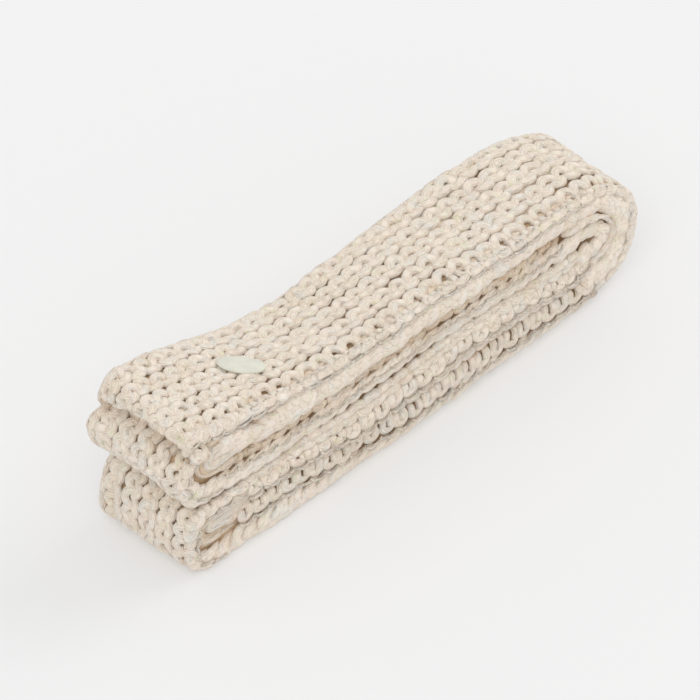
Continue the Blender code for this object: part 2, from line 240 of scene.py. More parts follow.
# Each piece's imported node, its stretches, its backing's insets, and what the backing rests on.
PIECES = {
    "top": ("top_stretch", ("top",), FLAT_INSETS, ("inner_cloth", "upper_fold_cloth")),
    "turn": ("right_turn", ("turn",), FLAT_INSETS, ("floor",)),
    "base": ("base_stretch", ("base",), FLAT_INSETS, ("floor",)),
    "upper_fold": ("upper_left_fold", ("upper_fold",), FOLD_INSETS, ("lower_fold_cloth",)),
    "lower_fold": ("lower_left_fold", ("lower_fold",), FOLD_INSETS, ("floor",)),
    "inner": ("hidden_layers", ("third", "inner_turn", "second"), INNER_INSETS, ("base_cloth",)),
}

# The stage and the view, in metres and degrees.
VIEW_AZIMUTH, VIEW_ELEVATION = -44.8, 44.8
VIEW_SPAN = 0.42
VIEW_OFFSET = (0.096, 0.138)  # the view's centre from the tables' origin, to the right and up
VIEW_DISTANCE, VIEW_LIMIT = 2.0, 20.0
FLOOR_REACH = 6.0
FLOOR_GREY, FLOOR_GLOW = (0.57, 0.57, 0.57, 1.0), 0.29
WHITE = (1.0, 1.0, 1.0, 1.0)
PLAIN = WHITE[:3]  # a ramp's stop that changes nothing
SKY_STRENGTH = 0.775
SUNS = {"key": (-1.4, -0.9, 2.2), "fill": (2.0, -0.4, 1.4)}
SUN_POWER, SUN_SPREAD = 0.62, 40

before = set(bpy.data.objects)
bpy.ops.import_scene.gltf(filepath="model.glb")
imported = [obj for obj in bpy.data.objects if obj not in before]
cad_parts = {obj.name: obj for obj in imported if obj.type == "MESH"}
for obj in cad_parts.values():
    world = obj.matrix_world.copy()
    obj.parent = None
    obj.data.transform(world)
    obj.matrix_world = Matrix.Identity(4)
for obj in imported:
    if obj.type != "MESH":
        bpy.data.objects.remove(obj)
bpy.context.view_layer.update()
rng = np.random.default_rng(676)


# ---- The strip ----


def read(rows, name, x):
    """A column of a table at x, on a smooth curve through its rows."""
    xs, values = rows["x"], rows[name]
    x = min(max(x, xs[0]), xs[-1])
    i = max(k for k in range(len(xs) - 1) if xs[k] <= x)
    before, after = max(i - 1, 0), min(i + 2, len(xs) - 1)
    span = xs[i + 1] - xs[i]
    t = (x - xs[i]) / span
    start_slope = (values[i + 1] - values[before]) / (xs[i + 1] - xs[before]) * span
    end_slope = (values[after] - values[i]) / (xs[after] - xs[i]) * span
    return (
        (2 * t**3 - 3 * t**2 + 1) * values[i]
        + (t**3 - 2 * t**2 + t) * start_slope
        + (3 * t**2 - 2 * t**3) * values[i + 1]
        + (t**3 - t**2) * end_slope
    )


def level(layer, x, y):
    """The height at (x, y) of one of the thicknesses' upper faces, a to d, or of the floor."""
    if layer == "floor":
        return 0.0
    near, far = read(LEVELS, layer + "_near", x), read(LEVELS, layer + "_far", x)
    return near + (far - near) * y / FAR_LINE


def spread(start, end, step):
    count = round(abs(end - start) / step) + 1
    return [start + (end - start) * k / (count - 1) for k in range(count)]


# A station is the four corners of a section: near on faces 1 and 2, then far on faces 1 and 2.


def flat_station(name, x):
    sides, layers, setbacks = THICKNESSES[name]
    near, far = (read(SIDES, side, x) for side in sides)
    ys = near + setbacks[0], near + setbacks[1], far, far
    return [(x, y, level(layer, x, y)) for y, layer in zip(ys, layers * 2)]


def fold_stations(fold):
    return [
        [(x, y_near, z), (in_x, y_near, in_z), (far_x, y_far, far_z), (in_x, y_far, in_z)]
        for x, z, far_x, far_z, in_x, in_z, y_near, y_far in fold
    ]


def turn_point(x, y, angle, reach, base, top):
    """A point on a half oval that springs from x and bulges out to reach, from base up to top."""
    return x + (reach - x) * math.cos(angle), y, (top + base) / 2 + (top - base) / 2 * math.sin(angle)


def outer_turn_station(degrees):
    """The doubled strip bends down round the end of the inner layers."""
    angle = math.radians(degrees)
    share = (90 - degrees) / 180
    x = RIGHT_SEAM
    corners = []
    for where in ("near", "far"):
        top, base = read(SIDES, "top_" + where, x), read(SIDES, "base_" + where, x)
        y = top + (base - top) * share
        corners.append(turn_point(x, y, angle, WRAP_REACH, 0.0, level("a", x, y)))
        corners.append(turn_point(x, y, angle, TURN_REACH, level("d", x, y), level("b", x, y)))
    return corners


def inner_turn_station(degrees):
    """The third thickness turns up and back into the second, round a small pit."""
    angle = math.radians(degrees)
    x = INNER_SPRING
    corners = []
    for name, (setback_1, setback_2) in (("mid_near", INNER_TURN_SETBACKS), ("base_far", (0.0, 0.0))):
        y = read(SIDES, name, x)
        pit = level("c", x, y) - PIT_HEIGHT / 2, level("c", x, y) + PIT_HEIGHT / 2
        corners.append(turn_point(x, y + setback_1, angle, PIT_REACH, *pit))
        outer = level("d", x, y), level("b", x, y)
        corners.append(turn_point(x, y + setback_2, angle, INNER_REACH, *outer))
    return corners


def strip_stretches():
    """The strip's stretches in the order that it runs in, each a list of stations."""

    def flat(name, start, end):
        return [flat_station(name, x) for x in spread(start, end, STATION_STEP)]

    return {
        "upper_fold": fold_stations(UPPER_FOLD),
        "top": flat("top", LEFT_SEAM, RIGHT_SEAM),
        "turn": [outer_turn_station(angle) for angle in spread(*OUTER_ANGLES)],
        "base": flat("base", RIGHT_SEAM, LEFT_SEAM),
        "lower_fold": fold_stations(LOWER_FOLD),
        "third": flat("third", LEFT_SEAM, INNER_SEAM),
        "inner_turn": [inner_turn_station(angle) for angle in spread(*INNER_ANGLES)],
        "second": flat("second", INNER_SEAM, LEFT_SEAM),
    }


def catmull(before, start, end, after, t):
    return 0.5 * (
        2 * start
        + (end - before) * t
        + (2 * before - 5 * start + 4 * end - after) * t**2
        + (3 * start - before - 3 * end + after) * t**3
    )


def section_size(corners):
    """A section's width and thickness, each the mean of its two sides."""
    near_1, near_2, far_1, far_2 = corners
    width = (norm(far_1 - near_1) + norm(far_2 - near_2)) / 2
    thick = (norm(near_2 - near_1) + norm(far_2 - far_1)) / 2
    return width, thick


def section_points(corners, across, up):
    """Points of a section, given their shares of its width and of its thickness as columns."""
    near_1, near_2, far_1, far_2 = corners
    face_1 = near_1 + (far_1 - near_1) * across
    face_2 = near_2 + (far_2 - near_2) * across
    return face_1 + (face_2 - face_1) * up


def evened(rows):
    """Each row's mean with the rows before and after it, round the closed strip."""
    return (np.roll(rows, 1, 0) + rows + np.roll(rows, -1, 0)) / 3


class Strip:
    """The closed strip: its stations, evenly spaced, each with its corners and its section's shape."""

    SPACING = 2.0
    SMOOTHING = 60  # how often the shapes are averaged with their neighbours'

    def __init__(self):
        stations, shapes, starts = [], [], {}
        for name, stretch in strip_stretches().items():
            starts[name] = len(stations)
            stations += stretch
            shapes += [self._shape(name, station) for station in stretch]
        stations, shapes = np.array(stations, float), np.array(shapes, float)
        steps = norm(np.roll(stations, -1, axis=0) - stations, axis=2).max(axis=1)
        ends = np.concatenate([[0.0], np.cumsum(steps)])
        self.length = ends[-1]
        self.starts = {name: ends[index] for name, index in starts.items()}
        self.count = int(self.length / self.SPACING)
        self.step = self.length / self.count
        rows = [self._read(stations, shapes, ends, k * self.step) for k in range(self.count)]
        self.corners = np.array([corners for corners, _ in rows])
        self.shapes = np.array([shape for _, shape in rows])
        self.middles = self.corners.mean(axis=1)
        for _ in range(self.SMOOTHING):
            self.shapes = evened(self.shapes)

    @staticmethod
    def _shape(name, station):
        if name == "base":
            return read(BASE_SLITS, "slit", station[0][0]), *SHAPES[name][1:]
        return SHAPES[name]

    @staticmethod
    def _read(stations, shapes, ends, s):
        """The corners at s, on a smooth curve through the stations, and the shape there."""
        i = int(np.searchsorted(ends, s, side="right")) - 1
        t = (s - ends[i]) / (ends[i + 1] - ends[i])
        before, start, end, after = ((i + k) % len(stations) for k in (-1, 0, 1, 2))
        corners = catmull(stations[before], stations[start], stations[end], stations[after], t)
        return corners, shapes[start] * (1 - t) + shapes[end] * t

    def rows_at(self, s):
        return np.round(s / self.step).astype(int) % self.count

    def x_at(self, s):
        return self.middles[self.rows_at(s), 0]

    def openness(self, s):
        """How open the knitting stands at the edge: 1 at the left, 0 from OPEN_REACH on."""
        return np.clip(1 - self.x_at(s) / OPEN_REACH, 0, 1)

    def stitches(self, name, offset=0.0, skip_start=0.0, skip_end=0.0):
        """The stitch places along a stretch: whole stitches, or with an offset in stitches."""
        start, end = self.range_of(name)
        pitch = self.length / round(self.length / STITCH)
        first = math.ceil((start + skip_start) / pitch - offset)
        last = math.floor((end - skip_end) / pitch - offset - 1e-6)
        return (np.arange(first, last + 1) + offset) * pitch

    def middle_length(self, start, end):
        """How long the strip's middle line is from start to end."""
        rows = np.arange(int(start / self.step), int(end / self.step) + 1) % self.count
        return float(norm(np.diff(self.middles[rows], axis=0), axis=1).sum())

    def range_of(self, *stretches):
        """From the start of the first of some stretches to the end of the last."""
        order = list(self.starts)
        following = order.index(stretches[-1]) + 1
        end = self.starts[order[following]] if following < len(order) else self.length
        return self.starts[stretches[0]], end


def arc(centre, radius, start, end, steps=8):
    angles = np.radians(np.linspace(start, end, steps + 1))
    return [(centre[0] + radius * math.cos(t), centre[1] + radius * math.sin(t)) for t in angles]


def skin_1_outline(width, thick, shape):
    """From the slit at the near side over face 1, down the far side and a little way over face 2:
    (across, up) points."""
    slit, near, far_1, far_2 = (shape[i] * thick for i in (0, 1, 3, 4))
    near = min(near, CORNER_ROOM * slit)
    points = [(0.0, slit)]
    points += arc((near, near), near, 180, 270)
    points += arc((width - far_1, far_1), far_1, 270, 360)
    points += arc((width - far_2, thick - far_2), far_2, 0, 90)
    points += [(width - far_2 - FAR_WRAP, thick)]
    return points


def skin_2_outline(width, thick, shape):
    """From the slit at the near side round to face 2, and a little way over it."""
    slit, near = shape[0] * thick, shape[2] * thick
    near = min(near, CORNER_ROOM * (thick - slit))
    points = [(0.0, slit)]
    points += arc((near, thick - near), near, 180, 90)
    points += [(near + SKIN_2_REACH, thick)]
    return points


def unit(vectors):
    return vectors / (norm(vectors, axis=-1, keepdims=True) + 1e-9)


class Skin:
    """A surface of the strip, as a grid of points and normals, evenly spaced along s and across w."""

    SPACING = 1.0
    SMOOTHING = 6  # how often the normals are averaged with their neighbours

    def __init__(self, strip, number, outline, reach):
        self.strip, self.number = strip, number
        self.columns = int(reach / self.SPACING) + 1
        sections = [self._section(*station, outline) for station in zip(strip.corners, strip.shapes)]
        self.points = np.array([points for points, _ in sections])
        self.widths = np.array([width for _, width in sections])
        self.normals = self._outward(strip.middles)

    def _section(self, corners, shape, outline):
        width, thick = section_size(corners)
        flat = np.array(outline(width, thick, shape))
        lengths = np.concatenate([[0.0], np.cumsum(norm(np.diff(flat, axis=0), axis=1))])
        at = np.arange(self.columns) * self.SPACING
        across = np.interp(at, lengths, flat[:, 0])[:, None] / width
        up = np.interp(at, lengths, flat[:, 1])[:, None] / thick
        return section_points(corners, across, up), lengths[-1]

    def _outward(self, middles):
        along = np.roll(self.points, -1, 0) - np.roll(self.points, 1, 0)
        across = np.gradient(self.points, axis=1)
        last = np.minimum((self.widths / self.SPACING).astype(int), self.columns - 1)
        for i, end in enumerate(last):
            across[i, end:] = across[i, max(end - 1, 0)]
        normals = unit(np.cross(along, across))
        outward = np.sum(normals * (self.points - middles[:, None, :]), axis=2)
        normals *= np.sign(outward[:, 2 : self.columns // 3].sum())
        for _ in range(self.SMOOTHING):
            normals = evened(normals)
            normals[:, 1:-1] = (normals[:, :-2] + normals[:, 1:-1] + normals[:, 2:]) / 3
        return unit(normals)

    def _sample(self, grid, s, w):
        count = self.strip.count
        rows = (s / self.strip.step) % count
        columns = np.clip(w / self.SPACING, 0, self.columns - 1.001)
        i, j = np.floor(rows).astype(int), np.floor(columns).astype(int)
        fi, fj = (rows - i)[..., None], (columns - j)[..., None]
        low, high = (
            grid[row % count, j] * (1 - fj) + grid[row % count, j + 1] * fj for row in (i, i + 1)
        )
        return low * (1 - fi) + high * fi

    def place(self, s, w, n):
        """Points in the tables' frame, and the surface's normals there. Where w is below 0 the surface
        runs on straight past its edge."""
        normals = unit(self._sample(self.normals, s, w))
        past = np.minimum(w, 0.0)[..., None]
        start = self._sample(self.points, s, np.maximum(w, 0.0))
        edge, next_to_it = (self._sample(self.points, s, np.full_like(w, at)) for at in (0.0, 1.0))
        return start - (edge - next_to_it) * past + normals * n[..., None], normals

    def width_at(self, s):
        return self.widths[self.strip.rows_at(s)]

    def slit_height(self, s):
        """How far the slit lies from the skin's own face, down the near side."""
        rows = self.strip.rows_at(s)
        corners, slits = self.strip.corners[rows], self.strip.shapes[rows, 0]
        thick = norm(corners[:, 1] - corners[:, 0], axis=1)
        return thick * (slits if self.number == 1 else 1 - slits)

    def edge_place(self, s):
        """Where the edge loops start across the skin: at the slit, or higher where the side is tall."""
        return np.maximum(self.slit_height(s) - EDGE_LOOP_DROP, 0.0)


# ---- Yarn ----

# A template is one tube of yarn: places s, w and n along it, and half its width and thickness there.


def ridge_loop(direction, bend=116, dive=3.2, wide=3.35, thick=1.8, steps=13):
    """A garter ridge's loop, broad and flat, whose ends dive. +1 is the taller one, open towards the
    near side and laid over its neighbours; -1 is open towards the far side."""
    half_s, half_w, crest = (5.0, 5.0, -1.9) if direction > 0 else (5.2, 3.7, -2.1)
    angles = np.radians(np.linspace(-bend, bend, steps))
    share = np.abs(angles) / angles.max()
    return {
        "s": half_s * np.sin(angles),
        "w": direction * half_w * np.cos(angles),
        "n": crest - dive * share**4,
        "wide": wide - 0.6 * share**2,
        "thick": thick - 0.3 * share**2,
    }


def core_strand(half=7.0, depth=4.5, wide=4.4, thick=1.5, steps=5):
    """A broad strand that lies under a ridge and fills its loops from below."""
    t = np.linspace(-1, 1, steps)
    return {
        "s": half * t,
        "w": np.zeros(steps),
        "n": -depth - 0.5 * np.abs(t) ** 4,
        "wide": np.full(steps, wide),
        "thick": np.full(steps, thick),
    }


def edge_loop(height, half_s=4.4, leg=0.7, foot_w=0.9, wide=3.5, thick=1.5, taper=0.2, steps=21):
    """A long loop at the edge: round its foot, with two legs that close up and dive under the next row.

    half_s less wide is half the opening between the legs at the foot. leg is the share of half_s that
    is left where they have closed up, and taper is how much narrower the yarn gets up to their ends.
    """
    bend = math.pi * half_s / 2
    arc_share = bend / (bend + height)
    t = np.linspace(-1, 1, steps)
    turn = np.clip(t / arc_share, -1, 1) * math.pi / 2
    run = np.clip((np.abs(t) - arc_share) / (1 - arc_share), 0, 1)
    closing = np.minimum(2.0 * run, 1.0)
    closing = closing**2 * (3 - 2 * closing)
    dive = -4.5 * np.clip((run - 0.6) / 0.4, 0, 1) ** 2
    return {
        "s": half_s * np.sin(turn) * (1 - (1 - leg) * closing),
        "w": foot_w + half_s * 0.55 * (1 - np.cos(turn)) + height * run,
        "n": -1.7 + 0.5 * np.cos(turn) + dive,
        "wide": wide - taper * run - 0.4 * np.cos(turn),
        "thick": thick - 0.3 * run,
    }


def garland(half=6.1, bulge=1.6, height=1.1, radius=0.9, steps=11):
    """The thin strand that hangs round the foot of one edge loop, from its neighbour to the next."""
    t = np.linspace(-1, 1, steps)
    return {
        "s": half * t,
        "w": -bulge * (1 - np.abs(t) ** 2.4),
        "n": height - height * np.abs(t) ** 4,
        "wide": radius * (1 - 0.15 * t**2),
        "thick": radius * (1 - 0.15 * t**2),
    }


def chain_link(lean=0.16, middle=0.5, half=0.43, thick=2.4, reach=10.5, dive=2.6, steps=17):
    """A flat link of the edge chain, for a band 1 mm high: it crosses the band on a slant and laps over
    the next. Its width scales with the band."""
    t = np.linspace(-1, 1, steps)
    ends = 1 - np.abs(t) ** 3
    return {
        "s": reach * t,
        "w": middle + lean * np.sin(t * math.pi / 2),
        "n": 0.1 - thick + 0.8 * t - dive * np.abs(t) ** 4,
        "wide": half * (0.45 + 0.55 * ends),
        "thick": thick * (0.5 + 0.5 * ends),
        "scales": True,
    }


def drift(s, w, n):
    """The cloth's slow unevenness: rows wander, stitches lean, and the surface swells a little. Each
    wave has its height and, under s and w, its lengths in mm for each radian."""
    return (
        s + 0.9 * np.sin(w / 11.0 + s / 31.0) + 0.6 * np.sin(s / 14.0 + 1.3),
        w + 0.8 * np.sin(s / 23.0 + w / 40.0) + 0.5 * np.sin(s / 9.5 + w / 13.0 + 0.7),
        n + 0.5 * np.sin(s / 19.0 + w / 15.0) - 0.4 * np.cos(s / 8.3 - w / 12.0),
    )


class Yarn:
    """Collects tubes, all laid on the strip, for one piece."""

    SIDES = 10
    FLATNESS = 0.8  # the section's corners: 1 is an ellipse, less is a flatter tape
    FIBRE_SHIFT = 37.0  # how far a tube's own tone moves the fibres along it
    # How much tubes differ from one another: in slant, in size along s and w, and in place.
    SLANT = 0.08
    SIZE_S, SIZE_W = 0.06, 0.03
    PLACE_S, PLACE_W, PLACE_N = 0.3, 0.25, 0.25
    # How much each wanders along its length, and how much its section differs and swells.
    WANDER_S, WANDER_W, WANDER_N = 0.3, 0.25, 0.2
    SECTION, SWELL = 0.06, 0.08
    LINE_WANDER, LINE_SWELL = 0.5, 0.12

    # A point's place along and round its tube, the tube's own tone, and the point's share of DEEP, which
    # sets its painted shade.
    ATTRIBUTES = {
        "run": ("FLOAT_VECTOR", "vector"),
        "tone": ("FLOAT", "value"),
        "depth": ("FLOAT", "value"),
    }

    def __init__(self):
        self.points, self.faces, self.count = [], [], 0
        self.values = {name: [] for name in self.ATTRIBUTES}

    def lay(self, skin, template, s, w, n=0.0, size=1.0):
        """Lays one tube of the template at each (s, w), each a little different from the next.

        size stretches it across the strip, and its width too where the template says that it scales.
        """
        count = len(s)
        scales = "scales" in template
        w, n, size = (np.broadcast_to(value, (count,)).astype(float) for value in (w, n, size))

        def vary(amount):
            return rng.normal(0.0, amount, count)[:, None]

        def wander(amount):
            return amount * self._wave(count, template["s"].size)

        slant = np.zeros((count, 1)) if scales else vary(self.SLANT)
        local_s = template["s"] * (1 + vary(self.SIZE_S)) + wander(self.WANDER_S)
        local_w = template["w"] * size[:, None] * (1 + vary(self.SIZE_W)) + wander(self.WANDER_W)
        at_s = s[:, None] + local_s + slant * local_w + vary(self.PLACE_S)
        at_w = w[:, None] + local_w - slant * local_s + vary(self.PLACE_W)
        at_n = n[:, None] + template["n"] + vary(self.PLACE_N) + wander(self.WANDER_N)
        at_s, at_w, at_n = drift(at_s, at_w, at_n)
        centres, normals = skin.place(at_s, at_w, at_n)
        wide = template["wide"] * (1 + vary(self.SECTION) + wander(self.SWELL))
        if scales:
            wide = wide * size[:, None]
        thick = template["thick"] * (1 + vary(self.SECTION) + wander(self.SWELL))
        self._sweep(centres, normals, wide, thick, rng.random(count), -at_n)

    def lay_line(self, points, wide, thick, depth, facing):
        """Lays one tube along points in the tables' frame, on cloth that faces the given way; depth sets
        its painted shade.
        """
        waver = self.LINE_WANDER * self._wave(3, len(points))
        centres = (points + waver.T)[None]
        normals = np.broadcast_to(np.array(facing), centres.shape)
        swell = 1 + self.LINE_SWELL * self._wave(1, len(points))
        depths = np.full((1, len(points)), depth)
        self._sweep(centres, normals, wide * swell, thick * swell, rng.random(1), depths)

    @staticmethod
    def _wave(count, steps):
        """A slow random wave along each of count tubes."""
        t = np.linspace(0, 2 * math.pi, steps)[None]
        start = rng.uniform(0, 2 * math.pi, (2, count, 1))
        return 0.7 * np.sin(t + start[0]) + 0.5 * np.sin(2 * t + start[1])

    def _sweep(self, centres, normals, wide, thick, tones, depths):
        tangents = unit(np.gradient(centres, axis=1))
        sides = unit(np.cross(tangents, normals))
        ups = np.cross(sides, tangents)
        angles = np.linspace(0, 2 * math.pi, self.SIDES, endpoint=False)
        round_trip = np.cos(angles), np.sin(angles)
        cos, sin = (np.sign(part) * np.abs(part) ** self.FLATNESS for part in round_trip)
        rings = (
            centres[:, :, None, :]
            + sides[:, :, None, :] * (wide[:, :, None] * cos)[..., None]
            + ups[:, :, None, :] * (thick[:, :, None] * sin)[..., None]
        )
        ids = self.count + np.arange(rings[..., 0].size).reshape(rings.shape[:3])
        self.count += ids.size
        turned = np.roll(ids, -1, axis=2)
        quads = np.stack([ids[:, :-1], ids[:, 1:], turned[:, 1:], turned[:, :-1]], axis=-1)
        self.points.append(rings.reshape(-1, 3))
        self.faces += quads.reshape(-1, 4).tolist()
        self.faces += ids[:, 0, :].tolist() + ids[:, -1, ::-1].tolist()
        steps = norm(np.diff(centres, axis=1), axis=2)
        along = np.concatenate([np.zeros((len(steps), 1)), np.cumsum(steps, axis=1)], axis=1)
        tones = tones[:, None, None]
        run = along[:, :, None] + self.FIBRE_SHIFT * tones
        place = [np.broadcast_to(part, ids.shape) for part in (run, *round_trip)]
        self.values["run"].append(np.stack(place, axis=-1).ravel())
        self.values["tone"].append(np.broadcast_to(tones, ids.shape).ravel())
        self.values["depth"].append(np.broadcast_to(depths[:, :, None] / DEEP, ids.shape).ravel())

    def build(self, name, material):
        piece = build_mesh(name, np.concatenate(self.points), self.faces, material)
        for key, (kind, field) in self.ATTRIBUTES.items():
            values = np.concatenate(self.values[key]).astype(np.float32)
            piece.data.attributes.new(key, kind, "POINT").data.foreach_set(field, values)
        return piece


def table_origin():
    """Where the tables' origin lies in the frame: the tag's middle is the known place."""
    low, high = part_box("tag")
    return (low[0] + high[0]) / 2 - TAG_X * MM, (low[1] + high[1]) / 2 - TAG_Y * MM


def between(ends, share):
    return ends[0] + (ends[1] - ends[0]) * share


def raise_lip(points):
    """Lifts the lip's lower edge at the left end, most of all in the middle of the strip's width."""
    x, y, z = points.T
    across = np.clip(y / FAR_LINE, 0, 1)
    notch, top = between(LIP_NOTCH, across), between(LIP_TOP, across)
    lower = np.clip((z - notch) / LIP_START, 0, 1)
    upper = np.clip((top - z) / (top - notch - LIP_START), 0, 1)
    leftward = np.clip((LIP_INNER - x) / (LIP_INNER / 2), 0, 1)
    rise = LIP_RISE * np.sin(math.pi * across) ** 2 * lower * upper * leftward
    return np.column_stack([x, y, z + rise])


def recede_in_notch(points):
    """Moves the backing's points that would stand in the notch under the lip further in."""
    x, y, z = points.T
    middle = between(LIP_NOTCH, np.clip(y / FAR_LINE, 0, 1)) + RECESS_MIDDLE
    within = np.clip(2 - np.abs(z - middle) / RECESS_HALF, 0, 1)
    leftward = np.clip((RECESS_INNER - x) / RECESS_EASE, 0, 1)
    return np.column_stack([x + RECESS * within * leftward, y, z])


def add_object(name, data):
    added = bpy.data.objects.new(name, data)
    bpy.context.scene.collection.objects.link(added)
    return added


def build_mesh(name, points, faces, material):
    """A piece from points in the tables' frame."""
    placed = raise_lip(np.array(points, float)) * MM
    placed[:, 0] += ORIGIN[0]
    placed[:, 1] += ORIGIN[1]
    placed[:, 2] = np.maximum(placed[:, 2], FLOOR_GAP * MM)
    mesh = bpy.data.meshes.new(name)
    mesh.from_pydata(placed.tolist(), [], faces)
    mesh.validate()
    mesh.shade_smooth()
    mesh.materials.append(material)
    return add_object(name, mesh)


def ring_points(across, up, rounding, far_rounding, steps=4):
    """A rounded rectangle's points, given its two across and its two up limits. The corner at the far
    side of face 2 has a rounding of its own, as far as the height has room for it."""
    far = min(far_rounding, FAR_CORNER_ROOM * (up[1] - up[0] - rounding))
    corners = (
        (across[0] + rounding, up[0] + rounding, rounding, 180),
        (across[1] - rounding, up[0] + rounding, rounding, 270),
        (across[1] - far, up[1] - far, far, 0),
        (across[0] + rounding, up[1] - rounding, rounding, 90),
    )
    points = []
    for x, y, radius, start in corners:
        points += arc((x, y), radius, start, start + 90, steps)
    return np.array(points)


def tube_faces(count, around, first=0):
    """The faces of a tube through count rings of points, closed by a face at both ends; first is its
    first point's number."""
    faces = []
    for k in range(count - 1):
        here, there = first + k * around, first + (k + 1) * around
        for j in range(around):
            m = (j + 1) % around
            faces.append((here + j, there + j, there + m, here + m))
    faces.append([first + j for j in range(around)])
    faces.append([first + count * around - 1 - j for j in range(around)])
    return faces


def backing(name, strip, stretches, insets, material):
    """The cloth under the yarn: a thin hollow form that follows the doubled strip along some stretches."""
    inset_1, inset_2, inset_sides, far_rounding = insets
    start, end = strip.range_of(*stretches)
    outer, inner = [], []
    for i in range(int(start / strip.step) - 1, int(end / strip.step) + 2, 2):
        corners = strip.corners[i % strip.count]
        width, thick = section_size(corners)
        for rings, wall in ((outer, 0.0), (inner, BACKING_WALL)):
            across = inset_sides + wall, width - inset_sides - wall
            up = inset_1 + wall, thick * (1 - inset_2) - wall
            flat = ring_points(across, up, BACKING_ROUNDING - wall, far_rounding - wall)
            rings.append(section_points(corners, flat[:, :1] / width, flat[:, 1:] / thick))
    inner = inner[1:-1]
    around = len(flat)
    faces = tube_faces(len(outer), around)
    faces += [face[::-1] for face in tube_faces(len(inner), around, len(outer) * around)]
    points = np.concatenate(outer + inner)
    if "upper_fold" in stretches:
        points = recede_in_notch(points)
    return build_mesh(name, points, faces, material)


# ---- Materials ----


def set_values(tree, node, **values):
    """Sets a node's inputs and properties by name. A value that is another node's output is joined."""
    for key, value in values.items():
        if isinstance(value, bpy.types.NodeSocket):
            tree.links.new(value, node.inputs[key])
        elif key in node.inputs:
            node.inputs[key].default_value = value
        else:
            setattr(node, key, value)
    return node


def add_node(tree, kind, **values):
    return set_values(tree, tree.nodes.new("ShaderNode" + kind), **values)


def new_material(name, **finish):
    material = bpy.data.materials.new(name)
    material.use_nodes = True
    tree = material.node_tree
    return material, tree, set_values(tree, tree.nodes["Principled BSDF"], **finish)


def object_place(tree):
    return add_node(tree, "TexCoord").outputs["Object"]


def noise(tree, vector, scale, detail, roughness=0.5):
    values = {"Vector": vector, "Scale": scale, "Detail": detail, "Roughness": roughness}
    return add_node(tree, "TexNoise", **values).outputs["Fac"]


def ramp(tree, source, *stops):
    """A colour ramp through (position, colour) stops."""
    node = add_node(tree, "ValToRGB", Fac=source)
    elements = node.color_ramp.elements
    while len(elements) < len(stops):
        elements.new(0.5)
    for element, (position, colour) in zip(elements, stops):
        element.position = position
        element.color = (*colour, 1.0)
    return node.outputs["Color"]


def multiplied(tree, first, second, amount=1.0):
    values = {"data_type": "RGBA", "blend_type": "MULTIPLY", "Factor": amount, "A": first, "B": second}
    return add_node(tree, "Mix", **values).outputs["Result"]


def bump(tree, height, strength, distance, **under):
    values = {"Height": height, "Strength": strength, "Distance": distance}
    return add_node(tree, "Bump", **values, **under).outputs["Normal"]


def yarn_material():
    """Cream tape yarn: faintly marled, with fibres that run along it; painted shade makes it darker and
    warmer the deeper it lies, and darkens thin lines along its folds.
    """
    finish = {"Roughness": 0.9, "Sheen Weight": 0.25, "Sheen Roughness": 0.6}
    material, tree, shader = new_material("yarn", **finish)
    run, tone, depth = (add_node(tree, "Attribute", attribute_name=name) for name in Yarn.ATTRIBUTES)
    grain = []
    for along, across, detail, roughness in ((0.3, 5.0, 3.0, 0.6), (0.12, 2.1, 1.0, 0.5)):
        stretch = add_node(tree, "Mapping", Vector=run.outputs["Vector"], Scale=(along, across, across))
        grain.append(noise(tree, stretch.outputs["Vector"], 1.0, detail, roughness))
    fibres, folds = grain
    creams = (0.0, (0.88, 0.79, 0.66)), (0.35, (0.92, 0.84, 0.73)), (0.7, (0.91, 0.81, 0.70))
    cream = ramp(tree, tone.outputs["Fac"], *creams, (1.0, (0.90, 0.84, 0.74)))
    flecks = noise(tree, object_place(tree), 170.0, 2.0)
    pale = (0.30, (0.93, 0.96, 0.99)), (0.43, PLAIN), (0.54, (1.0, 0.95, 0.93))
    marl = ramp(tree, flecks, *pale, (0.62, (1.0, 1.0, 0.97)), (0.72, (0.95, 0.98, 0.87)))
    # Painted shade: the deeper a point lies, the darker and warmer it is coloured, for the shade down
    # among the loops.
    deep = (0.75, (0.88, 0.77, 0.65)), (1.0, (0.62, 0.44, 0.29))
    shade = ramp(tree, depth.outputs["Fac"], (0.35, PLAIN), *deep)
    streak = ramp(tree, fibres, (0.35, (0.84, 0.82, 0.79)), (0.55, PLAIN))
    # Painted shade in the yarn's folds: thin darker lines where the fold pattern crosses its middle.
    crease_shade = ramp(tree, folds, (0.42, PLAIN), (0.47, (0.78, 0.74, 0.69)), (0.52, PLAIN))
    colour = cream
    for layer, amount in ((marl, 1.0), (streak, 0.7), (shade, 1.0), (crease_shade, 0.8)):
        colour = multiplied(tree, colour, layer, amount)
    normal = bump(tree, fibres, 0.6, 0.001, Normal=bump(tree, folds, 0.8, 0.0022))
    set_values(tree, shader, **{"Base Color": colour, "Normal": normal})
    return material


def backing_shade_material():
    """The yarn's hidden side, seen only down the pits: coloured warm dark brown as painted shade, with a
    faint warm emission as a painted glow of light bounced into the pits.
    """
    # Painted light: a faint warm emission so that the pits read brown rather than black.
    finish = {"Roughness": 0.95, "Emission Color": (0.40, 0.25, 0.13, 1.0), "Emission Strength": 0.15}
    material, tree, shader = new_material("backing", **finish)
    cloud = noise(tree, object_place(tree), 240.0, 3.0)
    # Painted shade: a dark warm brown, for cream yarn seen in shadow down the pits.
    colour = ramp(tree, cloud, (0.35, (0.50, 0.36, 0.22)), (0.65, (0.64, 0.49, 0.34)))
    set_values(tree, shader, **{"Base Color": colour, "Normal": bump(tree, cloud, 0.6, 0.001)})
    return material


